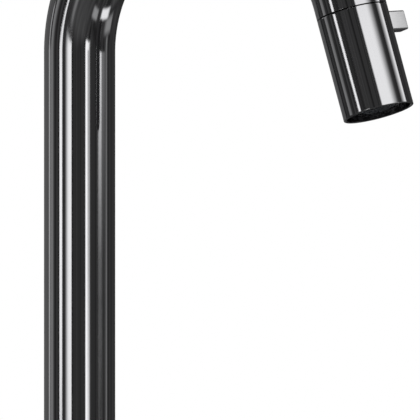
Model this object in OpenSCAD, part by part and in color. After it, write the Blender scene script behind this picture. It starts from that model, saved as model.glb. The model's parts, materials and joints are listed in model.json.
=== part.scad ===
// Gooseneck basin mixer tap, one tap hole, worked at its outlet end.
// Origin: centre of the base on the deck's top face. +Z is up, the spout reaches along +X.
// The outlet section turns about its own axis, and its side lever points along +Y at rest.

/* [Tube] */
// Outer diameter of the column, the bend and the outlet section
tube_d = 35; // [34:0.5:38]
// Wall of the tube
tube_wall = 1.5; // [1.2:0.1:2]
// Straight column, from its foot to the start of the bend
column_l = 209.5; // [140:0.5:260]
// Radius of the bend at the tube's centre line
bend_r = 78.2; // [60:0.1:110]
// Angle that the tube turns through
bend_angle = 162.9; // [120:0.1:175]
// Straight stretch between the bend and the tube's end
tail_l = 5.5; // [5.5:0.1:15]

/* [Base] */
// Diameter of the ring that covers the tap hole
ring_d = 50; // [48:1:64]
// Height of the ring above the deck
ring_h = 6; // [4:0.5:12]
// Depth that the column's foot sits in the ring
ring_seat = 1; // [0.5:0.1:2]
// Rounding of the ring's upper edge
ring_round = 1.2; // [0.4:0.1:2]
// Width of the flat seal under the ring
seal_w = 3; // [2:0.1:4]
// Thickness of the flat seal, and depth of its groove
seal_t = 1.5; // [1:0.1:2]
// Land between the seal and the ring's outer edge
seal_land = 1.5; // [1:0.1:2.5]
// Thickness of the deck that the tap is clamped to
deck_t = 15; // [5:1:40]
// Outer diameter of the hollow fixing shank
shank_d = 28; // [27:0.5:29]
// Bore of the fixing shank
shank_bore_d = 24; // [23.5:0.1:25]
// Length of shank screwed into the base plug
shank_grip = 12; // [8:0.5:16]
// Length of shank left free below the lock nut
shank_free = 22; // [8:1:40]
// Outer diameter of the rubber washer
rubber_d = 48; // [42:1:60]
// Thickness of the rubber washer
rubber_t = 3; // [2:0.5:5]
// Outer diameter of the steel washer
washer_d = 46; // [42:1:58]
// Thickness of the steel washer
washer_t = 1.5; // [1:0.1:3]
// Width across the flats of the lock nut
nut_flats = 38; // [36:1:41]
// Thickness of the lock nut
nut_t = 8; // [5:0.5:12]

/* [Inlets and pipes] */
// Distance between the hot and cold centre lines
pipe_pitch = 12; // [11.8:0.1:13]
// Outer diameter of the inner pipes
pipe_d = 8; // [7:0.1:8]
// Wall of the inner pipes
pipe_wall = 1; // [0.6:0.1:1.2]
// Diameter of the inlet threads
inlet_d = 10; // [8:0.5:10]
// Depth of the inlet threads
inlet_l = 10; // [8:0.5:14]
// Bore of the passages between threads, pipes and ports
passage_d = 5; // [4:0.1:5.4]
// Length of the passage above each inlet thread
passage_l = 3; // [2:0.5:8]
// Depth of the pipe sockets
socket_l = 4.5; // [4:0.1:5]
// Depth of the seal grooves in the pipe sockets
pipe_groove = 1.4; // [1:0.1:1.5]
// Width of the seal grooves in the pipe sockets
pipe_groove_w = 1.8; // [1.5:0.1:2.2]
// Number of spacers that hold the pipes in the column
clip_count = 3; // [1:1:5]
// Thickness of the spacers
clip_t = 5; // [3:0.5:8]
// Gap between the spacers and the tube
clip_gap = 0.3; // [0.2:0.1:0.6]

/* [Cartridge] */
// Outer diameter of the mixing cartridge
cartridge_d = 24; // [23.5:0.1:24.5]
// Height of the cup's floor past the tube's end
cup_floor_z = 2; // [1:0.1:4]
// Wall of the cup that holds the cartridge
cup_wall = 1.5; // [1.3:0.1:1.8]
// Wall of the cartridge body
body_wall = 1.2; // [1:0.1:1.4]
// Floor of the cartridge body
body_floor_t = 4; // [3:0.1:6]
// Depth of the port seals' recesses in that floor
port_recess = 1.5; // [1.2:0.1:2]
// Width of the port seals' recesses round the ports
port_recess_w = 1.6; // [1.4:0.1:1.8]
// Thickness of the gasket under the fixed disc
gasket_t = 1; // [0.8:0.1:2]
// Thickness of each ceramic disc
disc_t = 3.5; // [2.5:0.1:5]
// Gap round the discs
disc_clearance = 0.3; // [0.2:0.05:0.5]
// Radial width of the ports and windows in the discs
port_w = 4.2; // [3:0.1:4.6]
// Angle that each port in the fixed disc covers
port_span = 36; // [30:1:44]
// Angle that each window in the moving disc covers
window_span = 58; // [50:1:60]
// Angle between the closed cold port and its window
closed_lap = 7; // [4:1:10]
// Angle between the closed hot port and its window
hot_delay = 45; // [40:1:50]
// Thickness of the stem's flange
flange_t = 3; // [2.6:0.1:5]
// Depth of the water chamber in the flange
chamber_t = 1.5; // [1:0.1:1.8]
// Width of the dogs that drive the moving disc
dog_w = 3; // [2:0.1:4]
// Depth of those dogs
dog_t = 1.2; // [0.8:0.1:2]
// Radial height of the ribs that key the fixed disc
rib_h = 1; // [0.6:0.1:1.4]
// Width of those ribs
rib_w = 2; // [1.5:0.1:3]
// Thickness of the thrust washer
thrust_t = 1; // [0.6:0.1:2]
// Thickness of the cartridge cover
cover_t = 4; // [3:0.1:6]
// Thickness of the retaining nut
retainer_t = 4; // [3:0.1:6]
// Diameter of the opening in the retaining nut
retainer_bore_d = 17; // [15:0.5:19]
// Number of spanner slots in the retaining nut
retainer_slots = 4; // [2:1:6]
// Width of the spanner slots
retainer_slot_w = 2.5; // [1.5:0.1:3]
// Depth of the spanner slots
retainer_slot_t = 1.5; // [1:0.1:2.5]

/* [Stem] */
// Diameter of the stem's neck
stem_d = 13; // [12:0.1:13.5]
// Width across the two flats that drive the outlet section
stem_flats = 10.4; // [10:0.1:11]
// Bore of the stem
stem_bore_d = 6.4; // [5:0.1:6.6]
// Depth of the drive socket in the outlet section
drive_l = 3; // [2:0.1:5]
// Length of stem past the web of the outlet section
stem_tip_l = 2; // [1.8:0.1:4]
// Width of the seal grooves on the stem
stem_groove_w = 1.5; // [1.3:0.1:1.8]
// Depth of the seal grooves on the stem
stem_groove = 0.9; // [0.8:0.05:1]
// Thickness of the circlip
circlip_t = 0.8; // [0.6:0.1:1]
// Depth of the circlip's groove
circlip_groove = 0.5; // [0.3:0.1:0.7]
// Outer diameter of the circlip
circlip_d = 14.4; // [13:0.1:16]
// Angle of the circlip's gap
circlip_gap_angle = 50; // [20:5:90]

/* [Outlet section] */
// Gap between the tube's end and the outlet section
seam_gap = 0.6; // [0.4:0.1:1]
// Gap between the journal and the outlet section's bore
journal_gap = 1; // [0.8:0.05:1.2]
// Depth of the glide rings' grooves
glide_groove = 0.5; // [0.3:0.1:0.6]
// Width of the glide rings
glide_w = 2.5; // [2:0.1:4]
// Distance from the tube's end to the first glide ring
glide_first = 10.5; // [9:0.1:12]
// Distance between the two glide rings' near edges
glide_pitch = 11; // [8:0.1:12]
// Angle of the slit in each glide ring
glide_slit_angle = 6; // [2:1:12]
// Gap between the cup's end and the web
web_gap = 0.6; // [0.4:0.1:1.5]
// Thickness of the web
web_t = 6; // [5.6:0.1:8]
// Diameter of the chamber past the web
outlet_chamber_d = 18; // [17:0.5:20]
// Gap between the stem's tip and the aerator's ledge
tip_gap = 0.4; // [0.3:0.1:8]
// Diameter of the aerator thread
aerator_d = 24; // [23:0.1:25]
// How far the aerator lies behind the end of its thread
aerator_setback = 0.3; // [0:0.1:1]
// Depth of the open mouth in front of the aerator
mouth_recess = 6; // [5:0.2:12]
// Wall of the open mouth
mouth_wall = 1.5; // [1.2:0.1:2.5]
// Bevel of the mouth's rim
rim_bevel = 0.3; // [0.1:0.05:0.5]

/* [Lever] */
// Distance from the outlet section's axis to the lever's end
lever_reach = 36.2; // [30:0.1:60]
// Height of the lever along the axis
lever_h = 9.7; // [8:0.1:14]
// Thickness of the lever
lever_t = 6; // [5:0.1:8]
// Distance from the outlet section's top to the lever
lever_drop = 0.3; // [0.2:0.1:3]
// Angle from sideways towards the front at rest
lever_turn = 10; // [0:1:30]
// Depth of the flat pocket that the lever seats in
lever_seat = 1.2; // [0.8:0.1:1.4]
// Rounding of the lever's long edges
lever_round = 0.8; // [0.3:0.1:1.5]
// Diameter of the lever's screw
screw_d = 3; // [2.5:0.1:3.5]
// Diameter of its countersunk head
screw_head_d = 5.4; // [5:0.1:6]
// Depth of the hexagon socket in its head
screw_socket = 0.9; // [0.6:0.1:1.2]
// Width of the hexagon socket across its corners
screw_socket_w = 2.2; // [1.6:0.1:2.4]
// Length of screw in the lever
screw_grip = 8; // [5:0.5:12]

/* [Aerator] */
// Wall of the aerator housing
housing_wall = 1.5; // [1.2:0.1:2]
// Lip that holds the insert in the housing
housing_lip = 1; // [0.6:0.1:1.4]
// Thickness of that lip
housing_lip_t = 0.8; // [0.6:0.1:1.5]
// Number of key notches in the housing's rim
notch_count = 8; // [4:1:12]
// Width of the key notches
notch_w = 1.6; // [1:0.1:2.5]
// Depth of the key notches
notch_t = 0.6; // [0.4:0.1:0.6]
// Thickness of the aerator's washer
aerator_washer_t = 1.5; // [1:0.1:2.5]
// Thickness of the honeycomb
honeycomb_t = 3; // [2:0.1:5]
// Distance between honeycomb cells
cell_pitch = 2; // [1.8:0.1:2.6]
// Wall between honeycomb cells
cell_wall = 0.4; // [0.3:0.05:0.6]
// Thickness of the diffuser plate
diffuser_t = 1.2; // [0.8:0.1:2]
// Height of the skirt under the diffuser plate
diffuser_skirt = 1.6; // [1:0.1:3]
// Number of jets in the diffuser plate
jet_count = 18; // [12:1:20]
// Diameter of the jets
jet_d = 1.2; // [0.8:0.1:1.3]
// Thickness of the strainer
strainer_t = 1.2; // [0.8:0.1:2]
// Width of the strainer's slots
strainer_slot_w = 1; // [0.6:0.1:1.2]
// Free space above the strainer
strainer_gap = 0.6; // [0.3:0.1:2]

/* [Fits] */
// Radial gap between pieces that stay together
fit_gap = 0.05; // [0.02:0.01:0.08]
// Radial gap between pieces that turn on each other
running_gap = 0.04; // [0.02:0.01:0.08]
// Gap between faces that slide on each other
face_gap = 0.02; // [0.01:0.01:0.05]
// Radial room round the shank in washers and ring
shank_room = 0.3; // [0.2:0.1:0.6]

/* [Hidden] */

$fn = 96;
// Facets round the section of a seal ring
ring_fn = 40;
// Overshoot of cuts past the faces that they open
over = 1;
// How far the sized end of a tube laps back over its bend
sized_lap = 0.5;
// Facets round each corner of the lever
corner_steps = 4;
// Facets along each side of a port
port_steps = 10;

// Finishes
black_chrome = [0.17, 0.17, 0.18];
lever_chrome = [0.30, 0.30, 0.31];
brass = [0.78, 0.64, 0.36];
steel = [0.66, 0.67, 0.69];
copper = [0.74, 0.45, 0.32];
rubber = [0.10, 0.10, 0.11];
ceramic = [0.93, 0.93, 0.90];
pale_plastic = [0.86, 0.87, 0.88];
grey_plastic = [0.42, 0.44, 0.47];

// Tube and base
tube_r = tube_d / 2;
tube_ir = tube_r - tube_wall;
foot_z = ring_h - ring_seat;
bend_z = foot_z + column_l;
ring_r = ring_d / 2;
shank_r = shank_d / 2;
seal_r = ring_r - seal_land;
plug_h = shank_grip + inlet_l + passage_l + socket_l;
plug_top = foot_z + plug_h;
rubber_z = -deck_t - rubber_t;
washer_z = rubber_z - washer_t;
nut_z = washer_z - nut_t;
shank_end_z = nut_z - shank_free;

// Radial growth of a tube's sized end
sizing = 0.4 * fit_gap;

// Pipes
pipe_r = pipe_d / 2;
pipe_y = pipe_pitch / 2;
passage_r = passage_d / 2;
pipe_groove_r = pipe_r + pipe_groove;

// Cartridge, measured along the outlet's axis from the tube's end
cartridge_r = cartridge_d / 2;
cup_r = cartridge_r + fit_gap;
journal_r = cup_r + cup_wall;
body_r = cartridge_r - body_wall;
disc_r = body_r - disc_clearance;
gasket_z = cup_floor_z + body_floor_t;
fixed_disc_z = gasket_z + gasket_t;
moving_disc_z = fixed_disc_z + disc_t + face_gap;
flange_z = moving_disc_z + disc_t;
thrust_z = flange_z + flange_t + face_gap;
cover_z = thrust_z + thrust_t;
retainer_z = cover_z + cover_t;
cup_end_z = retainer_z + retainer_t;
cold_port_angle = 90;
hot_port_angle = 270;
port_in_r = pipe_y - port_w / 2;
port_out_r = pipe_y + port_w / 2;
chamber_r = port_out_r + face_gap;
dog_angle = 105;

// Stem
stem_r = stem_d / 2;
stem_bore_r = stem_bore_d / 2;
tip_r = stem_flats / 2;
cover_bore_r = stem_r + running_gap;
stem_seal_z = cover_z + (cover_t - stem_groove_w) / 2;
web_z = cup_end_z + web_gap;
web_end_z = web_z + web_t;
drive_end_z = web_z + drive_l;
sleeve_seal_z = (drive_end_z + web_end_z - stem_groove_w) / 2;
stem_end_z = web_end_z + stem_tip_l;
web_bore_r = tip_r + fit_gap;

// Outlet section
sleeve_bore_r = journal_r + journal_gap;
ledge_z = stem_end_z + tip_gap;
housing_z = ledge_z + aerator_washer_t;
housing_l = strainer_gap + strainer_t + diffuser_t + diffuser_skirt + honeycomb_t + housing_lip_t;
hub_end_z = housing_z + housing_l + aerator_setback;
mouth_z = hub_end_z + mouth_recess;
mouth_r = tube_r - mouth_wall;
aerator_r = aerator_d / 2;
outlet_chamber_r = outlet_chamber_d / 2;

// Aerator
housing_r = aerator_r - fit_gap;
housing_ir = housing_r - housing_wall;
insert_r = housing_ir - fit_gap;
lip_r = housing_ir - housing_lip;
strainer_z = housing_z + strainer_gap;
diffuser_z = strainer_z + strainer_t;
honeycomb_z = diffuser_z + diffuser_t + diffuser_skirt;
cell_r = (cell_pitch - cell_wall) / sqrt(3);

// Lever
lever_z = seam_gap + lever_drop;
lever_mid_z = lever_z + lever_h / 2;
lever_root = tube_r - lever_seat;
screw_r = screw_d / 2;
head_r = screw_head_d / 2;
head_cone = head_r - screw_r;
head_top = lever_root - head_cone - face_gap;

// Places its children at the end of the bend, +Z along the tube
module at_bend_end() {
    translate([bend_r * (1 - cos(bend_angle)), 0, bend_z + bend_r * sin(bend_angle)])
        rotate([0, bend_angle, 0]) children();
}

// Places its children at the tube's end, +Z towards the mouth
module at_outlet() {
    at_bend_end() translate([0, 0, tail_l]) children();
}

// Places its children on both pipe lines
module on_both_pipes() {
    for (side = [-1, 1]) translate([0, side * pipe_y, 0]) children();
}

// Flat ring between two radii
module flat_ring(outer_r, inner_r, h) {
    difference() {
        cylinder(r = outer_r, h = h);
        translate([0, 0, -over]) cylinder(r = inner_r, h = h + 2 * over);
    }
}

// Tube that follows the spout's route, with its far end sized round for its socket.
// The straight stretches are turned half round, so that their outlines start on the
// bend's outer side, as the bend's own outline does.
module bent_tube(r, wall, from_z, tail) {
    translate([0, 0, from_z]) rotate([0, 0, 180]) flat_ring(r, r - wall, bend_z - from_z);
    translate([bend_r, 0, bend_z]) mirror([1, 0, 0]) rotate([90, 0, 0])
        rotate_extrude(angle = bend_angle) translate([bend_r, 0]) difference() {
            circle(r);
            circle(r - wall);
        }
    at_bend_end() translate([0, 0, -sized_lap]) rotate([0, 0, 180])
        flat_ring(r + sizing, r - wall - sizing, tail + sized_lap);
}

// Seal ring of round section between two radii, with its middle at z
module o_ring(inner_r, outer_r, z) {
    section_r = (outer_r - inner_r) / 2;
    translate([0, 0, z]) rotate_extrude() translate([inner_r + section_r, 0])
        circle(section_r, $fn = ring_fn);
}

// Cutter for an inner groove between two radii
module groove(inner_r, outer_r, z, w) {
    translate([0, 0, z]) flat_ring(outer_r, inner_r, w);
}

// Outline of a curved port about the origin, starting at an angle
function port_outline(from_angle, span) = concat(
    [for (i = [0:port_steps]) let (a = from_angle + span * i / port_steps)
        [port_out_r * cos(a), port_out_r * sin(a)]],
    [for (i = [port_steps:-1:0]) let (a = from_angle + span * i / port_steps)
        [port_in_r * cos(a), port_in_r * sin(a)]]
);

// Cutter for a curved port through a disc
module port_cut(from_angle, span) {
    translate([0, 0, -over]) linear_extrude(disc_t + 2 * over)
        polygon(port_outline(from_angle, span));
}

// Outline of a rectangle centred on the origin with round corners
function rounded_outline(w, h, r) = [
    for (corner = [0:3]) for (i = [0:corner_steps])
        let (a = 90 * (corner + i / corner_steps))
        let (cx = (corner == 0 || corner == 3 ? 1 : -1) * (w / 2 - r))
        let (cy = (corner < 2 ? 1 : -1) * (h / 2 - r))
        [cx + r * cos(a), cy + r * sin(a)]
];

// Column, bend and straight tail, one bent tube
module spout_tube() {
    color(black_chrome) bent_tube(tube_r, tube_wall, foot_z, tail_l);
}

// Turned ring that covers the tap hole and seats the column
module base_ring() {
    color(black_chrome) difference() {
        rotate_extrude() polygon([
            [shank_r + shank_room, 0], [ring_r, 0], [ring_r, ring_h - ring_round],
            [ring_r - 0.29 * ring_round, ring_h - 0.29 * ring_round],
            [ring_r - ring_round, ring_h], [shank_r + shank_room, ring_h]
        ]);
        translate([0, 0, foot_z]) cylinder(r = tube_r + fit_gap, h = ring_seat + over);
        translate([0, 0, -over]) flat_ring(seal_r, seal_r - seal_w, seal_t + over);
    }
}

// Flat seal between the ring and the deck
module base_seal() {
    color(rubber) flat_ring(seal_r - fit_gap, seal_r - seal_w + fit_gap, seal_t);
}

// Socket for a pipe, opening upwards at z = 0, with its seal groove
module pipe_socket() {
    translate([0, 0, -socket_l]) cylinder(r = pipe_r + fit_gap, h = socket_l + over);
    groove(pipe_r, pipe_groove_r, -(socket_l + pipe_groove_w) / 2, pipe_groove_w);
}

// Brass block in the column's foot
module base_plug() {
    inlet_z = foot_z + shank_grip;
    color(brass) difference() {
        translate([0, 0, foot_z]) cylinder(r = tube_ir - fit_gap, h = plug_h);
        translate([0, 0, foot_z - over]) cylinder(r = shank_r, h = shank_grip + over);
        on_both_pipes() {
            translate([0, 0, inlet_z - over]) cylinder(r = inlet_d / 2, h = inlet_l + over);
            translate([0, 0, inlet_z]) cylinder(r = passage_r, h = plug_h - shank_grip);
            translate([0, 0, plug_top]) pipe_socket();
        }
    }
}

// Hollow threaded shank that passes through the deck
module fixing_shank() {
    color(brass) translate([0, 0, shank_end_z])
        flat_ring(shank_r - fit_gap, shank_bore_d / 2, foot_z + shank_grip - shank_end_z);
}

// Rubber washer against the deck's underside
module rubber_washer() {
    color(rubber) translate([0, 0, rubber_z]) flat_ring(rubber_d / 2, shank_r + shank_room, rubber_t);
}

// Steel washer under the rubber one
module clamp_washer() {
    color(steel) translate([0, 0, washer_z]) flat_ring(washer_d / 2, shank_r + shank_room, washer_t);
}

// Hexagon nut on the shank, with its corners bevelled
module lock_nut() {
    corner_r = nut_flats / sqrt(3);
    bevel = corner_r - nut_flats / 2;
    color(brass) translate([0, 0, nut_z]) difference() {
        intersection() {
            cylinder(r = corner_r, h = nut_t, $fn = 6);
            rotate_extrude() polygon([
                [0, 0], [nut_flats / 2, 0], [corner_r, bevel / 2],
                [corner_r, nut_t - bevel / 2], [nut_flats / 2, nut_t], [0, nut_t]
            ]);
        }
        translate([0, 0, -over]) cylinder(r = shank_r, h = nut_t + 2 * over);
    }
}

// One inner pipe, from the base plug's socket to the tip adapter's
module inner_pipe(y) {
    color(copper) translate([0, y, 0]) bent_tube(pipe_r, pipe_wall, plug_top - socket_l, socket_l);
}

module hot_pipe() inner_pipe(-pipe_y);

module cold_pipe() inner_pipe(pipe_y);

// Seal rings in the four pipe sockets
module pipe_seals() {
    seal_in_r = pipe_r + sizing + face_gap;
    color(rubber) {
        translate([0, 0, plug_top - socket_l / 2]) on_both_pipes()
            o_ring(seal_in_r, pipe_groove_r - face_gap, 0);
        at_bend_end() translate([0, 0, socket_l / 2]) on_both_pipes()
            o_ring(seal_in_r, pipe_groove_r - face_gap, 0);
    }
}

// Spacers that keep the pipes apart in the column
module pipe_clips() {
    clip_step = (bend_z - plug_top) / (clip_count + 1);
    color(pale_plastic) for (i = [1:clip_count])
        translate([0, 0, plug_top + i * clip_step - clip_t / 2]) difference() {
            cylinder(r = tube_ir - clip_gap, h = clip_t);
            translate([0, 0, -over]) {
                on_both_pipes() cylinder(r = pipe_r + fit_gap, h = clip_t + 2 * over);
                for (side = [-1, 1]) translate([side * tube_ir, 0, 0])
                    cylinder(r = tube_ir / 2, h = clip_t + 2 * over);
            }
        }
}

// Brass block in the spout's end: pipe sockets behind, journal and cartridge cup in front
module tip_adapter() {
    color(brass) at_outlet() difference() {
        union() {
            translate([0, 0, -tail_l]) cylinder(r = tube_ir - fit_gap, h = tail_l);
            cylinder(r = journal_r, h = cup_end_z);
        }
        translate([0, 0, cup_floor_z]) cylinder(r = cup_r, h = cup_end_z);
        for (i = [0:1])
            groove(journal_r - glide_groove, journal_r + over, glide_first + i * glide_pitch, glide_w);
        on_both_pipes() {
            translate([0, 0, -tail_l - over]) cylinder(r = passage_r, h = tail_l + cup_floor_z + 2 * over);
            translate([0, 0, -tail_l]) mirror([0, 0, 1]) pipe_socket();
        }
    }
}

// Seal rings between the adapter's passages and the cartridge
module port_seals() {
    seal_r_out = passage_r + port_recess_w - face_gap;
    seal_r_in = seal_r_out - port_recess + 2 * face_gap;
    color(rubber) at_outlet() on_both_pipes()
        o_ring(seal_r_in, seal_r_out, cup_floor_z + port_recess / 2);
}

// Cup-shaped cartridge body with two ports in its floor
module cartridge_body() {
    wall_top = cover_z;
    color(grey_plastic) at_outlet() difference() {
        translate([0, 0, cup_floor_z]) cylinder(r = cartridge_r, h = wall_top - cup_floor_z);
        difference() {
            translate([0, 0, gasket_z]) cylinder(r = body_r, h = wall_top);
            for (side = [0, 180]) rotate([0, 0, side])
                translate([body_r - rib_h, -rib_w / 2, gasket_z])
                    cube([rib_h + body_wall, rib_w, gasket_t + disc_t]);
        }
        on_both_pipes() translate([0, 0, cup_floor_z - over]) {
            cylinder(r = passage_r, h = body_floor_t + 2 * over);
            cylinder(r = passage_r + port_recess_w, h = port_recess + over);
        }
    }
}

// Round blank inside the body, notched for its two ribs
module keyed_disc(h) {
    notch_gap = disc_clearance / 2;
    difference() {
        cylinder(r = disc_r, h = h);
        for (side = [0, 180]) rotate([0, 0, side])
            translate([body_r - rib_h - notch_gap, -rib_w / 2 - notch_gap, -over])
                cube([rib_h + body_wall, rib_w + 2 * notch_gap, h + 2 * over]);
    }
}

// Rubber gasket under the fixed disc
module cartridge_gasket() {
    color(rubber) at_outlet() translate([0, 0, gasket_z]) difference() {
        keyed_disc(gasket_t);
        translate([0, 0, -over]) on_both_pipes() cylinder(r = passage_r, h = gasket_t + 2 * over);
    }
}

// Ceramic disc that stays still, with the cold and the hot port
module fixed_disc() {
    color(ceramic) at_outlet() translate([0, 0, fixed_disc_z]) difference() {
        keyed_disc(disc_t);
        for (a = [cold_port_angle, hot_port_angle]) port_cut(a - port_span / 2, port_span);
    }
}

// Places its children at both driving dogs
module at_dogs() {
    for (a = [dog_angle, dog_angle + 180]) rotate([0, 0, a])
        translate([chamber_r + face_gap, -dog_w / 2, 0]) children();
}

// Ceramic disc that turns: the cold window opens first, the hot one after it
module moving_disc() {
    cold_edge = cold_port_angle - port_span / 2 - closed_lap;
    hot_edge = hot_port_angle - port_span / 2 - hot_delay;
    color(ceramic) at_outlet() translate([0, 0, moving_disc_z]) difference() {
        cylinder(r = disc_r, h = disc_t);
        port_cut(cold_edge - window_span, window_span);
        port_cut(hot_edge - window_span, window_span);
        translate([0, -fit_gap, disc_t - dog_t - fit_gap]) at_dogs()
            cube([body_r, dog_w + 2 * fit_gap, dog_t + over]);
    }
}

// Hollow stem: flange with its dogs, neck, drive flats and sealed tip
module stem() {
    neck_l = drive_end_z - flange_z;
    color(steel) at_outlet() translate([0, 0, flange_z]) difference() {
        union() {
            cylinder(r = disc_r, h = flange_t);
            intersection() {
                translate([0, 0, -dog_t]) cylinder(r = disc_r, h = dog_t + face_gap);
                translate([0, 0, -dog_t]) at_dogs() cube([body_r, dog_w, dog_t + face_gap]);
            }
            cylinder(r = stem_r, h = web_z - flange_z);
            intersection() {
                cylinder(r = stem_r, h = neck_l);
                translate([-stem_r, -tip_r, 0]) cube([2 * stem_r, 2 * tip_r, neck_l]);
            }
            cylinder(r = tip_r, h = stem_end_z - flange_z);
        }
        translate([0, 0, -over]) cylinder(r = chamber_r, h = chamber_t + over);
        translate([0, 0, -over]) cylinder(r = stem_bore_r, h = stem_end_z - flange_z + 2 * over);
        groove(stem_r - stem_groove, stem_r + over, stem_seal_z - flange_z, stem_groove_w);
        groove(tip_r - stem_groove, tip_r + over, sleeve_seal_z - flange_z, stem_groove_w);
        groove(tip_r - circlip_groove, tip_r + over, web_end_z - flange_z, circlip_t);
    }
}

// Low-friction washer between the stem's flange and the cover
module thrust_washer() {
    color(pale_plastic) at_outlet() translate([0, 0, thrust_z])
        flat_ring(disc_r, stem_r + disc_clearance, thrust_t);
}

// Seal ring on the stem's neck, inside the cover
module stem_seal() {
    color(rubber) at_outlet() o_ring(
        stem_r - stem_groove + face_gap, cover_bore_r - face_gap, stem_seal_z + stem_groove_w / 2);
}

// Cover that closes the cartridge round the stem
module cartridge_cover() {
    color(grey_plastic) at_outlet() translate([0, 0, cover_z])
        flat_ring(cartridge_r, cover_bore_r, cover_t);
}

// Slotted ring nut that holds the cartridge in the adapter's cup
module retaining_nut() {
    color(brass) at_outlet() translate([0, 0, retainer_z]) difference() {
        flat_ring(cup_r - fit_gap, retainer_bore_d / 2, retainer_t);
        for (i = [0:retainer_slots - 1]) rotate([0, 0, i * 360 / retainer_slots])
            translate([0, -retainer_slot_w / 2, retainer_t - retainer_slot_t])
                cube([cup_r, retainer_slot_w, retainer_slot_t + over]);
    }
}

// Slit rings that the outlet section turns on
module glide_rings() {
    inner_r = journal_r - glide_groove + face_gap;
    outer_r = sleeve_bore_r - running_gap;
    ring_w = glide_w - 2 * face_gap;
    color(pale_plastic) at_outlet() for (i = [0:1])
        translate([0, 0, glide_first + i * glide_pitch + face_gap]) rotate([0, 0, i * 180])
            rotate_extrude(angle = 360 - glide_slit_angle)
                translate([inner_r, 0]) square([outer_r - inner_r, ring_w]);
}

// Cutter for the two-flat drive socket in the web
module drive_socket() {
    intersection() {
        cylinder(r = stem_r + fit_gap, h = drive_l + over);
        translate([-stem_d, -tip_r - fit_gap, 0])
            cube([2 * stem_d, 2 * (tip_r + fit_gap), drive_l + over]);
    }
}

// Turning end section: bearing bore, web on the stem, aerator thread, open mouth
module outlet_sleeve() {
    color(black_chrome) at_outlet() difference() {
        rotate_extrude() polygon([
            [web_bore_r, web_z], [sleeve_bore_r, web_z], [sleeve_bore_r, seam_gap],
            [tube_r, seam_gap], [tube_r, mouth_z - rim_bevel], [tube_r - rim_bevel, mouth_z],
            [mouth_r, mouth_z], [mouth_r, hub_end_z], [aerator_r, hub_end_z],
            [aerator_r, ledge_z], [outlet_chamber_r, ledge_z],
            [outlet_chamber_r, web_end_z], [web_bore_r, web_end_z]
        ]);
        translate([0, 0, web_z - over]) drive_socket();
        at_lever() {
            translate([lever_root, -lever_t / 2 - fit_gap, -lever_h / 2 - fit_gap])
                cube([lever_seat + over, lever_t + 2 * fit_gap, lever_h + 2 * fit_gap]);
            rotate([0, 90, 0]) cylinder(r = screw_r + fit_gap, h = tube_r);
            rotate([0, 90, 0]) cylinder(r = head_r + fit_gap, h = head_top);
            translate([head_top, 0, 0]) rotate([0, 90, 0])
                cylinder(r1 = head_r + fit_gap, r2 = screw_r + fit_gap, h = head_cone);
        }
    }
}

// Places its children on the lever's centre line, +X outwards along the lever
module at_lever() {
    translate([0, 0, lever_mid_z]) rotate([0, 0, 90 + lever_turn]) children();
}

// Flat lever: a rounded bar seated in the outlet section's pocket
module lever() {
    length = lever_reach - lever_root;
    middle = (lever_reach + lever_root) / 2;
    color(lever_chrome) at_outlet() at_lever() difference() {
        intersection() {
            translate([lever_root, 0, 0]) rotate([90, 0, 90])
                linear_extrude(length) polygon(rounded_outline(lever_t, lever_h, lever_round));
            translate([middle - lever_round, 0, -lever_h]) linear_extrude(2 * lever_h)
                polygon(rounded_outline(length + 2 * lever_round, lever_t, lever_round));
            translate([middle - lever_round, lever_t, 0]) rotate([90, 0, 0])
                linear_extrude(2 * lever_t)
                    polygon(rounded_outline(length + 2 * lever_round, lever_h, lever_round));
        }
        translate([lever_root - over, 0, 0]) rotate([0, 90, 0])
            cylinder(r = screw_r, h = screw_grip + 2 * over);
    }
}

// Countersunk screw from inside the outlet section into the lever
module lever_screw() {
    color(steel) at_outlet() at_lever() rotate([0, 90, 0]) difference() {
        union() {
            translate([0, 0, head_top]) cylinder(r1 = head_r, r2 = screw_r - fit_gap, h = head_cone);
            translate([0, 0, head_top]) cylinder(r = screw_r - fit_gap, h = head_cone + screw_grip);
        }
        translate([0, 0, head_top - over]) cylinder(d = screw_socket_w, h = screw_socket + over, $fn = 6);
    }
}

// Seal ring between the stem's tip and the web
module sleeve_seal() {
    color(rubber) at_outlet() o_ring(
        tip_r - stem_groove + face_gap, web_bore_r - face_gap, sleeve_seal_z + stem_groove_w / 2);
}

// Open spring ring that holds the outlet section on the stem
module stem_circlip() {
    inner_r = tip_r - circlip_groove + face_gap;
    color(steel) at_outlet() translate([0, 0, web_end_z]) rotate([0, 0, circlip_gap_angle / 2])
        rotate_extrude(angle = 360 - circlip_gap_angle)
            translate([inner_r, 0]) square([circlip_d / 2 - inner_r, circlip_t]);
}

// Flat washer behind the aerator
module aerator_washer() {
    color(rubber) at_outlet() translate([0, 0, ledge_z])
        flat_ring(housing_r, outlet_chamber_r, aerator_washer_t);
}

// Threaded aerator housing with key notches in its rim
module aerator_housing() {
    color(pale_plastic) at_outlet() translate([0, 0, housing_z]) difference() {
        cylinder(r = housing_r, h = housing_l);
        translate([0, 0, -over]) cylinder(r = housing_ir, h = housing_l - housing_lip_t + over);
        cylinder(r = lip_r, h = housing_l + over);
        for (i = [0:notch_count - 1]) rotate([0, 0, i * 360 / notch_count])
            translate([lip_r - over, -notch_w / 2, housing_l - notch_t])
                cube([aerator_r, notch_w, notch_t + over]);
    }
}

// Slotted strainer on the inlet side of the aerator
module aerator_strainer() {
    slot_pitch = 2 * strainer_slot_w;
    slot_rows = floor((lip_r - strainer_slot_w) / slot_pitch);
    color(grey_plastic) at_outlet() translate([0, 0, strainer_z]) difference() {
        cylinder(r = insert_r, h = strainer_t);
        for (row = [-slot_rows:slot_rows]) {
            half_l = sqrt(pow(lip_r - strainer_slot_w, 2) - pow(row * slot_pitch, 2));
            translate([row * slot_pitch - strainer_slot_w / 2, -half_l, -over])
                cube([strainer_slot_w, 2 * half_l, strainer_t + 2 * over]);
        }
    }
}

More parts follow.
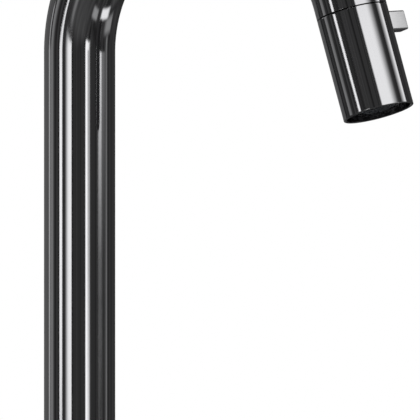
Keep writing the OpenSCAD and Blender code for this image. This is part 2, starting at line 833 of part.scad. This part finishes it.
// Plate of fine jets on a skirt that rests on the honeycomb
module aerator_diffuser() {
    skirt_wall = housing_lip;
    jet_circle_r = insert_r - skirt_wall - jet_d;
    color(pale_plastic) at_outlet() translate([0, 0, diffuser_z]) difference() {
        cylinder(r = insert_r, h = diffuser_t + diffuser_skirt);
        translate([0, 0, diffuser_t]) cylinder(r = insert_r - skirt_wall, h = diffuser_skirt + over);
        for (i = [0:jet_count - 1]) rotate([0, 0, i * 360 / jet_count])
            translate([jet_circle_r, 0, -over]) cylinder(d = jet_d, h = diffuser_t + 2 * over, $fn = 24);
    }
}

// Honeycomb that shapes the stream: hexagonal cells through a round disc
module aerator_honeycomb() {
    row_step = cell_pitch * sqrt(3) / 2;
    rows = floor(lip_r / row_step);
    columns = ceil(lip_r / cell_pitch);
    color(grey_plastic) at_outlet() translate([0, 0, honeycomb_z]) difference() {
        cylinder(r = insert_r, h = honeycomb_t);
        for (row = [-rows:rows]) for (column = [-columns:columns]) {
            x = (column + (row % 2) / 2) * cell_pitch;
            y = row * row_step;
            if (norm([x, y]) + cell_r <= lip_r) translate([x, y, -over]) rotate([0, 0, 30])
                cylinder(r = cell_r, h = honeycomb_t + 2 * over, $fn = 6);
        }
    }
}

spout_tube();
base_ring();
base_seal();
base_plug();
fixing_shank();
rubber_washer();
clamp_washer();
lock_nut();
hot_pipe();
cold_pipe();
pipe_seals();
pipe_clips();
tip_adapter();
port_seals();
cartridge_body();
cartridge_gasket();
fixed_disc();
thrust_washer();
cartridge_cover();
retaining_nut();
glide_rings();
moving_disc();
stem();
stem_seal();
sleeve_seal();
stem_circlip();
outlet_sleeve();
lever();
lever_screw();
aerator_washer();
aerator_housing();
aerator_strainer();
aerator_diffuser();
aerator_honeycomb();
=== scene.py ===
# Gooseneck basin mixer tap in polished black chrome, worked by a small lever on its turning outlet section
import bpy
import bmesh
import json
import math
from mathutils import Matrix, Vector


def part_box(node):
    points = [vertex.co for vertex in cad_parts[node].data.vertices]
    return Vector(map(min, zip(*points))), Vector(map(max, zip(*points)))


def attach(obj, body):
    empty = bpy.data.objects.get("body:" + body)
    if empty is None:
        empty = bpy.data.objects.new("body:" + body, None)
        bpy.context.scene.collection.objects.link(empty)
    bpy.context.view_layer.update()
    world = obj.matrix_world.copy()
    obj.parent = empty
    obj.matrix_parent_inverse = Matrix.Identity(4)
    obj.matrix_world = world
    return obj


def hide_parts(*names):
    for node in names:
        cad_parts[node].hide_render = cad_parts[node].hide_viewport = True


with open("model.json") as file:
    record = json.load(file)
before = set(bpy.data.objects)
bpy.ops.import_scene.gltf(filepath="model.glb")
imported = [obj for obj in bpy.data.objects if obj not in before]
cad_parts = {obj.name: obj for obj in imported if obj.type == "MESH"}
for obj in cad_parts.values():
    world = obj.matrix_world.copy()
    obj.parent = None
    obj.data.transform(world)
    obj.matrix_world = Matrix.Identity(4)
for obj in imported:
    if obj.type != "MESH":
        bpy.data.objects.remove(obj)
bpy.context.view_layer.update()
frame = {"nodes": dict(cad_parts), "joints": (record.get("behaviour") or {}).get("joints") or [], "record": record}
nodes = frame["nodes"]
scene = bpy.context.scene
mm = 0.001
print("frame loaded:", len(nodes), "nodes")

# Camera at the photograph's viewing angle
view = {
    "azimuth": 30.59,
    "elevation": -0.57,
    "aim": (0.05513, 0.03259, 0.136935),
    "distance": 7.8096,
    "focalPixels": 15901,
    "framePixels": 420,
    "sensor": 36,
}


def towards(azimuth, elevation):
    a = math.radians(azimuth)
    e = math.radians(elevation)
    return Vector((math.sin(a) * math.cos(e), -math.cos(a) * math.cos(e), math.sin(e)))


def addCamera():
    data = bpy.data.cameras.new("camera")
    data.sensor_width = view["sensor"]
    data.lens = view["focalPixels"] / view["framePixels"] * view["sensor"]
    data.clip_end = 100
    camera = bpy.data.objects.new("camera", data)
    back = towards(view["azimuth"], view["elevation"])
    camera.location = Vector(view["aim"]) + back * view["distance"]
    camera.rotation_mode = "QUATERNION"
    camera.rotation_quaternion = (-back).to_track_quat("-Z", "Y")
    scene.collection.objects.link(camera)
    scene.camera = camera


addCamera()
print("camera placed")


class Wire:
    # A shader socket that takes part in plain maths
    def __init__(self, tree, socket=None):
        self.tree = tree
        self.socket = socket

    def node(self, kind, settings=None, values=None, out=0):
        made = self.tree.nodes.new(kind)
        for name, setting in (settings or {}).items():
            if name == "stops":
                self.fillRamp(made.color_ramp, setting)
            else:
                setattr(made, name, setting)
        for name, value in (values or {}).items():
            if isinstance(value, Wire):
                self.tree.links.new(value.socket, made.inputs[name])
            else:
                made.inputs[name].default_value = value
        return Wire(self.tree, made.outputs[out] if made.outputs else None)

    def fillRamp(self, ramp, stops):
        while len(ramp.elements) > 1:
            ramp.elements.remove(ramp.elements[0])
        for i, (place, grey) in enumerate(stops):
            stop = ramp.elements[0] if i == 0 else ramp.elements.new(place)
            stop.position = place
            stop.color = (grey, grey, grey, 1)

    def math(self, operation, first, second):
        return self.node("ShaderNodeMath", {"operation": operation}, {0: first, 1: second})

    def __add__(self, other):
        return self.math("ADD", self, other)

    def __radd__(self, other):
        return self.math("ADD", other, self)

    def __sub__(self, other):
        return self.math("SUBTRACT", self, other)

    def __rsub__(self, other):
        return self.math("SUBTRACT", other, self)

    def __mul__(self, other):
        return self.math("MULTIPLY", self, other)

    def __rmul__(self, other):
        return self.math("MULTIPLY", other, self)

    def blend(self, low, high):
        # low where this is 0, high where it is 1
        return self.node(
            "ShaderNodeMix", {"data_type": "RGBA"}, {"Factor": self, 6: low, 7: high}, out=2)


def place(start, scale=(1, 1, 1)):
    # Row-frame coordinates, stretched
    spot = start.node("ShaderNodeTexCoord", out=3)
    return start.node("ShaderNodeMapping", None, {"Vector": spot, "Scale": scale})


def noise(start, scale, detail=3, stretch=(1, 1, 1)):
    return start.node(
        "ShaderNodeTexNoise", None,
        {"Vector": place(start, stretch), "Scale": scale, "Detail": detail, "Roughness": 0.55})


def startMaterial(name):
    material = bpy.data.materials.new(name)
    material.use_nodes = True
    material.node_tree.nodes.clear()
    return material, Wire(material.node_tree)


def endMaterial(start, values):
    shader = start.node("ShaderNodeBsdfPrincipled", None, values)
    start.node("ShaderNodeOutputMaterial", None, {"Surface": shader})


def bump(start, height, depth, strength):
    return start.node(
        "ShaderNodeBump", None, {"Height": height, "Distance": depth, "Strength": strength})


def rgb(r, g, b):
    return (r, g, b, 1)


finish = {
    "tubeDark": rgb(0.40, 0.40, 0.41),
    "tubeLight": rgb(0.46, 0.46, 0.47),
    "tubeGloss": 0.045,
    # Lever colours: painted shade at the tip, painted light at the root
    "leverTipPaintedShade": rgb(0.34, 0.34, 0.345),
    "leverRootPaintedLight": rgb(0.60, 0.60, 0.605),
    "leverTipY": 0.036,
    "leverRootY": 0.0175,
}


def makeBlackChrome():
    # Smoked chrome over polished brass: a faint cloud in the gloss, a fine orange peel, hairline wipe marks
    material, start = startMaterial("blackChrome")
    cloud = noise(start, 38, 2)
    wipes = noise(start, 900, 2, (1, 1, 0.03))
    peel = noise(start, 700, 2)
    endMaterial(start, {
        "Base Color": cloud.blend(finish["tubeDark"], finish["tubeLight"]),
        "Metallic": 1.0,
        "Roughness": finish["tubeGloss"] + 0.025 * cloud + 0.02 * wipes,
        "Normal": bump(start, peel, 0.00002, 0.03),
    })
    return material


def makeLeverChrome():
    # The lever has a fine grain along its length; its colour is painted darker towards the tip as painted shade
    # and lighter at the root as painted light
    material, start = startMaterial("leverChrome")
    grain = noise(start, 1400, 3, (1, 0.06, 1))
    cloud = noise(start, 90, 2)
    along = start.node("ShaderNodeSeparateXYZ", None, {0: place(start)}, out=1)
    # Painted shade and light along the lever, 0 at the tip and 1 at the root, with a random cloud added
    paintedLightAndCloud = start.node("ShaderNodeMapRange", None, {
        "Value": along, "From Min": finish["leverTipY"], "From Max": finish["leverRootY"]})
    paintedLightAndCloud = paintedLightAndCloud + 0.2 * (cloud - 0.5)
    endMaterial(start, {
        "Base Color": paintedLightAndCloud.blend(finish["leverTipPaintedShade"], finish["leverRootPaintedLight"]),
        "Metallic": 1.0,
        "Roughness": 0.12 + 0.1 * grain,
        "Normal": bump(start, grain, 0.00002, 0.12),
    })
    return material


def makeTurnedMetal(name, dark, light, gloss, spread):
    # Machined metal: tool marks round the axis, and a little tarnish
    material, start = startMaterial(name)
    marks = noise(start, 2600, 2, (0.06, 0.06, 1))
    stain = noise(start, 120, 4)
    endMaterial(start, {
        "Base Color": stain.blend(dark, light),
        "Metallic": 0.72 + 0.12 * marks,
        "Roughness": gloss + spread * marks + 0.1 * stain,
        "Normal": bump(start, marks, 0.00003, 0.25),
    })
    return material


def makeRubber():
    material, start = startMaterial("rubber")
    pores = noise(start, 3800, 3)
    bloom = noise(start, 160, 4)
    endMaterial(start, {
        "Base Color": bloom.blend(rgb(0.016, 0.016, 0.017), rgb(0.035, 0.035, 0.036)),
        "Roughness": 0.62 + 0.2 * bloom,
        "Normal": bump(start, pores, 0.00008, 0.35),
    })
    return material


def makeCeramic():
    material, start = startMaterial("ceramic")
    specks = noise(start, 2400, 2)
    cloud = noise(start, 150, 3)
    endMaterial(start, {
        "Base Color": cloud.blend(rgb(0.82, 0.82, 0.78), rgb(0.9, 0.9, 0.87)),
        "Roughness": 0.14 + 0.08 * specks,
        "Normal": bump(start, specks, 0.00002, 0.08),
    })
    return material


def makePlastic(name, dark, light):
    # Moulded acetal: a faint flow in its colour and a fine spark-eroded grain
    material, start = startMaterial(name)
    grain = noise(start, 3200, 3)
    flow = noise(start, 110, 4, (1, 1, 0.4))
    endMaterial(start, {
        "Base Color": flow.blend(dark, light),
        "Roughness": 0.34 + 0.14 * grain,
        "Normal": bump(start, grain, 0.00005, 0.2),
    })
    return material


finishes = {
    "black_chrome": makeBlackChrome(),
    "lever_chrome": makeLeverChrome(),
    "brass": makeTurnedMetal("brass", rgb(0.66, 0.46, 0.19), rgb(0.80, 0.60, 0.29), 0.2, 0.16),
    "steel": makeTurnedMetal("steel", rgb(0.52, 0.53, 0.54), rgb(0.64, 0.65, 0.66), 0.22, 0.18),
    "copper": makeTurnedMetal("copper", rgb(0.62, 0.28, 0.17), rgb(0.82, 0.44, 0.30), 0.22, 0.14),
    "rubber": makeRubber(),
    "ceramic": makeCeramic(),
    "pale_plastic": makePlastic("palePlastic", rgb(0.68, 0.69, 0.70), rgb(0.78, 0.79, 0.80)),
    "grey_plastic": makePlastic("greyPlastic", rgb(0.10, 0.11, 0.12), rgb(0.15, 0.16, 0.17)),
}
slotOf = {part["node"]: part["material_slot"] for part in frame["record"]["subparts"]}
for name, node in nodes.items():
    node.data.materials.clear()
    node.data.materials.append(finishes[slotOf[name]])
# Painted shade: the aerator's housing and the tip adapter get darker colours than their slots', standing in for
# the shade in the dark mouth and the dark seam
nodes["aerator_housing"].data.materials[0] = makePlastic(
    "paintedShadePlastic", rgb(0.03, 0.03, 0.032), rgb(0.05, 0.05, 0.053))
# Painted shade in the seam: the tip adapter is darker than its own brass
nodes["tip_adapter"].data.materials[0] = makeTurnedMetal(
    "paintedShadeBrass", rgb(0.035, 0.033, 0.03), rgb(0.06, 0.056, 0.05), 0.35, 0.2)
print("finishes made:", len(finishes))

# Places taken from the frame: the outlet turns about the joint's axis, from the tube's end
joint = frame["joints"][0]
tubeEnd = Vector(joint["pos_m"])
outward = Vector(joint["axis"]).normalized()
bendAngle = math.atan2(outward.x, outward.z)
tubeLow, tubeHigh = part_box("spout_tube")
ringLow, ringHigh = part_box("base_ring")
rightward = Vector((0, 1, 0))
backward = rightward.cross(outward)


sharpAngle = math.radians(28)


def finishPiece(mesh, name, body, slot, replaced, sharp=sharpAngle):
    # Names the piece, shades it and ties it to its body
    mesh.shade_smooth()
    mesh.set_sharp_from_angle(angle=sharp)
    piece = bpy.data.objects.new(name, mesh)
    scene.collection.objects.link(piece)
    mesh.materials.append(finishes[slot])
    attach(piece, body)
    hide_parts(replaced)
    return piece


def joinRings(mesh, ring, after):
    sides = len(ring)
    for i in range(sides):
        j = (i + 1) % sides
        mesh.faces.new((ring[i], ring[j], after[j], after[i]))


def sweepRings(outline, spotAt, sides):
    # A closed outline of (distance, radius) carried round a centre line
    mesh = bmesh.new()
    rings = []
    for distance, radius in outline:
        centre, across, up = spotAt(distance)
        ring = []
        for i in range(sides):
            a = 2 * math.pi * i / sides
            ring.append(mesh.verts.new(centre + radius * (math.cos(a) * across + math.sin(a) * up)))
        rings.append(ring)
    for ring, after in zip(rings, rings[1:] + rings[:1]):
        joinRings(mesh, ring, after)
    bmesh.ops.recalc_face_normals(mesh, faces=mesh.faces)
    return mesh


def toMesh(mesh, name):
    data = bpy.data.meshes.new(name)
    mesh.to_mesh(data)
    mesh.free()
    return data


def roundOver(end, radius, size, steps):
    # Quarter round from a piece's side to its end face
    return [
        (end - size + size * math.sin(a), radius - size + size * math.cos(a))
        for a in (math.pi / 2 * i / steps for i in range(steps + 1))
    ]


# Column, bend and tail: one smooth tube
spout = {
    "bendRadius": 78.2 * mm,
    "tail": 5.5 * mm,
    "wall": 1.5 * mm,
    "rimRound": 0.04 * mm,
    "rimSteps": 4,
    "support": 1 * mm,
    "sides": 160,
    "bendSteps": 120,
}
tubeRadius = -tubeLow.y
bendStart = tubeEnd.z + spout["tail"] * abs(outward.z) - spout["bendRadius"] * outward.x
columnLength = bendStart - tubeLow.z
bendLength = spout["bendRadius"] * bendAngle
spoutLength = columnLength + bendLength + spout["tail"]


def spoutSpot(distance):
    turned = min(max((distance - columnLength) / spout["bendRadius"], 0), bendAngle)
    along = Vector((math.sin(turned), 0, math.cos(turned)))
    r = spout["bendRadius"]
    centre = Vector((r * (1 - math.cos(turned)), 0, bendStart + r * math.sin(turned)))
    extra = min(distance - columnLength, 0) + max(distance - columnLength - bendLength, 0)
    return centre + extra * along, rightward, along.cross(rightward)


def buildSpout():
    steps = spout["bendSteps"]
    inner = tubeRadius - spout["wall"]
    size = spout["rimRound"]
    bend = [columnLength + bendLength * i / steps for i in range(steps + 1)]
    stations = [spout["support"], columnLength - spout["support"]] + bend
    stations.append(columnLength + bendLength + spout["support"])
    outline = [(0, tubeRadius)] + [(s, tubeRadius) for s in stations]
    outline.append((spoutLength - 3 * size, tubeRadius))
    outline += roundOver(spoutLength, tubeRadius, size, spout["rimSteps"])
    outline.append((spoutLength, inner))
    outline += [(s, inner) for s in reversed(stations)] + [(0, inner)]
    mesh = sweepRings(outline, spoutSpot, spout["sides"])
    finishPiece(toMesh(mesh, "spoutTube"), "spoutTube", "tap_body", "black_chrome", "spout_tube")


buildSpout()
print("spout tube bent")


def straightSpot(origin, axis, across):
    # Centre line of a turned piece
    up = axis.cross(across)
    return lambda distance: (origin + distance * axis, across, up)


# Turned ring over the tap hole
baseRing = {
    "round": 1.2 * mm,
    "seat": 1 * mm,
    "seatGap": 0.05 * mm,
    "bore": 14.3 * mm,
    "edge": 0.2 * mm,
    "steps": 6,
    "sides": 128,
}


def buildBaseRing():
    top = ringHigh.z
    outer = ringHigh.x
    size = baseRing["round"]
    seat = tubeRadius + baseRing["seatGap"]
    edge = baseRing["edge"]
    outline = [(0, baseRing["bore"]), (0, outer - edge), (edge, outer), (3 * edge, outer)]
    outline.append((top - size - edge, outer))
    outline += roundOver(top, outer, size, baseRing["steps"])
    outline += [(top, outer - size - edge), (top, seat), (top - baseRing["seat"], seat)]
    outline.append((top - baseRing["seat"], baseRing["bore"]))
    mesh = sweepRings(
        outline, straightSpot(Vector(), Vector((0, 0, 1)), rightward), baseRing["sides"])
    finishPiece(toMesh(mesh, "baseRing"), "baseRing", "tap_body", "black_chrome", "base_ring")


buildBaseRing()
print("base ring turned")

# Turning outlet section, measured along its axis from the tube's end
outlet = {
    "top": 0.6 * mm,
    "bottom": 51.24 * mm,
    "hubEnd": 45.24 * mm,
    "ledge": 35.04 * mm,
    "webTop": 26.64 * mm,
    "webEnd": 32.64 * mm,
    "bearingBore": 14.55 * mm,
    "stemBore": 5.25 * mm,
    "chamber": 9 * mm,
    "thread": 12 * mm,
    "mouthWall": 1.5 * mm,
    "topRound": 0.04 * mm,
    "rimRound": 0.3 * mm,
    "roundSteps": 4,
    "support": 0.6 * mm,
    "sides": 192,
}
lever = {
    "reach": 36.2 * mm,
    "root": 16.3 * mm,
    "height": 9.7 * mm,
    "thickness": 6 * mm,
    "middle": 5.75 * mm,
    "turn": 10,
    "round": 0.8 * mm,
    "roundSteps": 5,
    "gap": 0.05 * mm,
    "sharp": math.radians(50),
}
leverOut = Matrix.Rotation(math.radians(90 + lever["turn"]), 3, "Z") @ Vector((1, 0, 0))
leverOut = (leverOut.x * backward + leverOut.y * rightward).normalized()
leverPlace = Matrix.Translation(tubeEnd + lever["middle"] * outward) @ Matrix(
    (leverOut, outward.cross(leverOut), outward)).transposed().to_4x4()


def addBar(mesh, low, high):
    # A plain box between two corners in the lever's own frame
    made = bmesh.ops.create_cube(mesh, size=1)["verts"]
    middle = (Vector(low) + Vector(high)) / 2
    size = Vector(high) - Vector(low)
    for vert in made:
        vert.co = middle + Vector(a * b for a, b in zip(vert.co, size))


def buildOutlet():
    size = outlet["topRound"]
    rim = outlet["rimRound"]
    mouth = tubeRadius - outlet["mouthWall"]
    top = outlet["top"]
    bottom = outlet["bottom"]
    steps = outlet["roundSteps"]
    outline = [(outlet["webTop"], outlet["stemBore"]), (outlet["webTop"], outlet["bearingBore"])]
    outline += [(top, outlet["bearingBore"]), (top, tubeRadius - 3 * size)]
    outline += [(2 * top - d, r) for d, r in reversed(roundOver(top, tubeRadius, size, steps))]
    outline += [(top + outlet["support"], tubeRadius), (bottom - outlet["support"], tubeRadius)]
    outline += roundOver(bottom, tubeRadius, rim, steps)
    outline += [(bottom, mouth + rim), (bottom - rim, mouth), (bottom - 2 * rim, mouth)]
    outline += [(outlet["hubEnd"], mouth), (outlet["hubEnd"], outlet["thread"])]
    outline += [(outlet["ledge"], outlet["thread"]), (outlet["ledge"], outlet["chamber"])]
    outline += [(outlet["webEnd"], outlet["chamber"]), (outlet["webEnd"], outlet["stemBore"])]
    mesh = sweepRings(outline, straightSpot(tubeEnd, outward, rightward), outlet["sides"])
    piece = finishPiece(
        toMesh(mesh, "outletSleeve"), "outletSleeve", "outlet", "black_chrome", "outlet_sleeve")

    # Flat pocket for the lever's root, cut through the skin
    pocket = bmesh.new()
    gap = lever["gap"]
    wide = lever["thickness"] / 2 + gap
    tall = lever["height"] / 2 + gap
    addBar(pocket, (lever["root"], -wide, -tall), (2 * tubeRadius, wide, tall))
    cutter = bpy.data.objects.new("pocketCutter", toMesh(pocket, "pocketCutter"))
    scene.collection.objects.link(cutter)
    cutter.matrix_world = leverPlace
    cut = piece.modifiers.new("pocket", "BOOLEAN")
    cut.operation = "DIFFERENCE"
    cut.solver = "EXACT"
    cut.object = cutter
    bpy.context.view_layer.update()
    shaped = bpy.data.meshes.new_from_object(
        piece.evaluated_get(bpy.context.evaluated_depsgraph_get()))
    piece.modifiers.remove(cut)
    piece.data = shaped
    shaped.set_sharp_from_angle(angle=sharpAngle)
    bpy.data.objects.remove(cutter)


def buildLever():
    mesh = bmesh.new()
    wide = lever["thickness"] / 2
    tall = lever["height"] / 2
    addBar(mesh, (lever["root"], -wide, -tall), (lever["reach"], wide, tall))
    bmesh.ops.bevel(
        mesh, geom=mesh.edges[:], offset=lever["round"], segments=lever["roundSteps"],
        profile=0.5, affect="EDGES")
    bmesh.ops.recalc_face_normals(mesh, faces=mesh.faces)
    mesh.transform(leverPlace)
    piece = finishPiece(
        toMesh(mesh, "sideLever"), "sideLever", "outlet", "lever_chrome", "lever", lever["sharp"])
    piece.modifiers.new("evenShade", "WEIGHTED_NORMAL").keep_sharp = True


buildOutlet()
buildLever()
print("outlet section and lever made")

# Threaded shank under the deck
shank = {
    "pitch": 1.5 * mm,
    "threadDepth": 0.85 * mm,
    "bore": 12 * mm,
    "endTaper": 0.9 * mm,
    "sides": 72,
    "rowsPerTurn": 4,
    "weld": 0.001 * mm,
}


def buildShank():
    low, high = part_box("fixing_shank")
    crest = high.x
    root = crest - shank["threadDepth"]
    sides = shank["sides"]
    perTurn = shank["rowsPerTurn"]
    rowStep = shank["pitch"] / perTurn
    rows = math.ceil((high.z - low.z) / rowStep) + perTurn + 1
    shape = [crest, crest, root, root]
    mesh = bmesh.new()

    def addVert(radius, i, z):
        a = 2 * math.pi * i / sides
        return mesh.verts.new((radius * math.cos(a), radius * math.sin(a), z))

    grid = []
    for row in range(rows + 1):
        ring = []
        for i in range(sides):
            z = low.z + rowStep * (row - perTurn) + shank["pitch"] * i / sides
            z = min(max(z, low.z), high.z)
            edge = min(z - low.z, high.z - z)
            radius = min(shape[row % perTurn], root + shank["threadDepth"] * edge / shank["endTaper"])
            ring.append(addVert(radius, i, z))
        grid.append(ring)
    bore = [[addVert(shank["bore"], i, z) for i in range(sides)] for z in (high.z, low.z)]
    for row in range(rows):
        for i in range(sides):
            j = (i + 1) % sides
            # Once round, the helix has climbed one whole turn of rows
            upRow = row if j else row + perTurn
            if upRow + 1 <= rows:
                mesh.faces.new((grid[row][i], grid[upRow][j], grid[upRow + 1][j], grid[row + 1][i]))
    around = [grid[-1]] + bore + [grid[0]]
    for ring, after in zip(around, around[1:]):
        joinRings(mesh, ring, after)
    bmesh.ops.remove_doubles(mesh, verts=mesh.verts, dist=shank["weld"])
    bmesh.ops.dissolve_degenerate(mesh, edges=mesh.edges, dist=shank["weld"])
    bmesh.ops.recalc_face_normals(mesh, faces=mesh.faces)
    finishPiece(toMesh(mesh, "fixingShank"), "fixingShank", "tap_body", "brass", "fixing_shank")


buildShank()
print("shank threaded")

# Studio: white to the eye, and in reflections a dark room with tall light panels.
# A panel's from and to are degrees to the right of the camera's side, its low and high degrees above
# the horizon. soft is how far its left and right edges blur, fade the same for its ends.
studio = {
    "room": 0.055,
    "roomDrift": 0.15,
    "driftPitch": 0.16,
    "driftRise": 0.05,
    "driftDetail": 4,
    "diffuseLight": 0.9,
}
panels = [
    # Seen in the column
    {"from": -190, "to": -122, "low": -30, "high": 90, "light": 0.10, "soft": (1, 3), "fade": 3},
    {"from": -119, "to": -109.5, "low": -4, "high": 2, "light": 0.62, "soft": (2, 2), "fade": 1},
    {"from": -118, "to": -113, "low": 2, "high": 9, "light": 0.62, "soft": (2, 2), "fade": 1},
    {"from": -106, "to": -95, "low": -9, "high": 30, "light": 0.32, "soft": (1, 6), "fade": 3},
    {"from": -68, "to": -58.4, "low": -0.36, "high": 1.6, "light": 2.1, "soft": (1, 2), "fade": 0.15},
    {"from": -41.5, "to": -26, "low": -0.9, "high": 2.4, "light": 1.9, "soft": (8, 0.8), "fade": 0.6},
    {"from": 19.5, "to": 26, "low": -5, "high": 4, "light": 2.1, "soft": (1.5, 0.8), "fade": 1.2},
    {"from": 26, "to": 33.5, "low": -5, "high": 4, "light": 0.75, "soft": (0.8, 2.5), "fade": 1.2},
    {"from": 26, "to": 31, "low": -4, "high": 0.1, "light": 1.0, "soft": (1, 1.5), "fade": 0.35},
    {"from": 64, "to": 76, "low": 0.85, "high": 6, "light": 1.9, "soft": (5, 3), "fade": 0.3},
    {"from": 76, "to": 90, "low": 0.85, "high": 6, "light": 0.35, "soft": (3, 6), "fade": 0.3},
    {"from": 94, "to": 101, "low": -8, "high": 3, "light": 0.25, "soft": (1.5, 1.5), "fade": 2},
    # Seen in the outlet section, which leans back
    {"from": 12, "to": 60, "low": 15, "high": 60, "light": 1.65, "soft": (2.5, 17), "fade": 3},
    {"from": 99, "to": 111, "low": 14, "high": 45, "light": 1.75, "soft": (13, 2.5), "fade": 3},
    # Seen in the inside of the bend
    {"from": -75, "to": 18, "low": -50, "high": -4, "light": 0.05, "soft": (8, 8), "fade": 4},
    {"from": -38, "to": -30, "low": -14, "high": -3.5, "light": 0.25, "soft": (3, 3), "fade": 2},
    {"from": 26, "to": 45, "low": -26, "high": -19, "light": 0.5, "soft": (4, 3), "fade": 1.5},
    {"from": 59, "to": 88, "low": -28, "high": -20.5, "light": 1.7, "soft": (3, 6), "fade": 1.5},
    {"from": 84, "to": 110, "low": -20, "high": -10, "light": 0.42, "soft": (8, 4), "fade": 3},
    {"from": 92, "to": 150, "low": -60, "high": -26, "light": 0.06, "soft": (8, 10), "fade": 4},
]


def rise(value, middle, soft):
    return value.node(
        "ShaderNodeMapRange", {"interpolation_type": "SMOOTHSTEP"},
        {"Value": value, "From Min": middle - soft, "From Max": middle + soft})


def glow(panel, bearing, height):
    left, right = panel["soft"]
    across = rise(bearing, panel["from"], left) * (1 - rise(bearing, panel["to"], right))
    fade = panel["fade"]
    return across * rise(height, panel["low"], fade) * (1 - rise(height, panel["high"], fade))


def buildStudio():
    world = bpy.data.worlds.new("studio")
    scene.world = world
    world.use_nodes = True
    world.node_tree.nodes.clear()
    start = Wire(world.node_tree)
    ray = start.node("ShaderNodeTexCoord", out=0)
    front = towards(view["azimuth"], 0)
    right = towards(view["azimuth"] + 90, 0)
    side, ahead, rising = [
        start.node("ShaderNodeVectorMath", {"operation": "DOT_PRODUCT"}, {0: ray, 1: axis}, out=1)
        for axis in (right, front, Vector((0, 0, 1)))
    ]
    degrees = 180 / math.pi
    bearing = start.math("ARCTAN2", side, ahead) * degrees
    height = start.node("ShaderNodeMath", {"operation": "ARCSINE"}, {0: rising}) * degrees
    spot = start.node(
        "ShaderNodeCombineXYZ", None,
        {"X": bearing * studio["driftPitch"], "Y": height * studio["driftRise"]})
    drift = start.node(
        "ShaderNodeTexNoise", {"noise_dimensions": "2D"},
        {"Vector": spot, "Scale": 1, "Detail": studio["driftDetail"]})
    light = studio["room"] + studio["roomDrift"] * (drift - 0.5)
    for panel in panels:
        light = light + panel["light"] * glow(panel, bearing, height)
    toEye = start.node("ShaderNodeLightPath", out=0)
    toMatt = start.node("ShaderNodeLightPath", out=2)
    level = light * (1 - toEye) * (1 - toMatt) + toEye + studio["diffuseLight"] * toMatt
    background = start.node("ShaderNodeBackground", None, {"Color": rgb(1, 1, 1), "Strength": level})
    start.node("ShaderNodeOutputWorld", None, {"Surface": background})


paleFloor = {
    "radius": 5,
    "height": -0.08,
    "segments": 96,
}


def buildFloor():
    mesh = bmesh.new()
    bmesh.ops.create_circle(
        mesh, cap_ends=True, radius=paleFloor["radius"], segments=paleFloor["segments"])
    floor = bpy.data.objects.new("floor", toMesh(mesh, "floor"))
    floor.location.z = paleFloor["height"]
    scene.collection.objects.link(floor)
    material, start = startMaterial("paleFloor")
    cloud = noise(start, 3, 4)
    endMaterial(start, {
        "Base Color": cloud.blend(rgb(0.86, 0.86, 0.85), rgb(0.89, 0.89, 0.88)),
        "Roughness": 0.55 + 0.1 * cloud,
        "Normal": bump(start, noise(start, 240, 3), 0.0002, 0.1),
    })
    floor.data.materials.append(material)
    floor.visible_glossy = False


overhead = {
    "width": 1.6,
    "depth": 1.2,
    "watts": 14,
    "place": (0.4, -0.9, 2.2),
    "aim": (0.08, 0, 0.15),
}


def addSoftLight():
    data = bpy.data.lights.new("overhead", "AREA")
    data.shape = "RECTANGLE"
    data.size = overhead["width"]
    data.size_y = overhead["depth"]
    data.energy = overhead["watts"]
    lamp = bpy.data.objects.new("overhead", data)
    lamp.location = overhead["place"]
    lamp.rotation_mode = "QUATERNION"
    lamp.rotation_quaternion = (Vector(overhead["aim"]) - lamp.location).to_track_quat("-Z", "Y")
    lamp.visible_camera = False
    scene.collection.objects.link(lamp)


buildStudio()
buildFloor()
addSoftLight()
scene.view_settings.view_transform = "Standard"
print("studio lit")
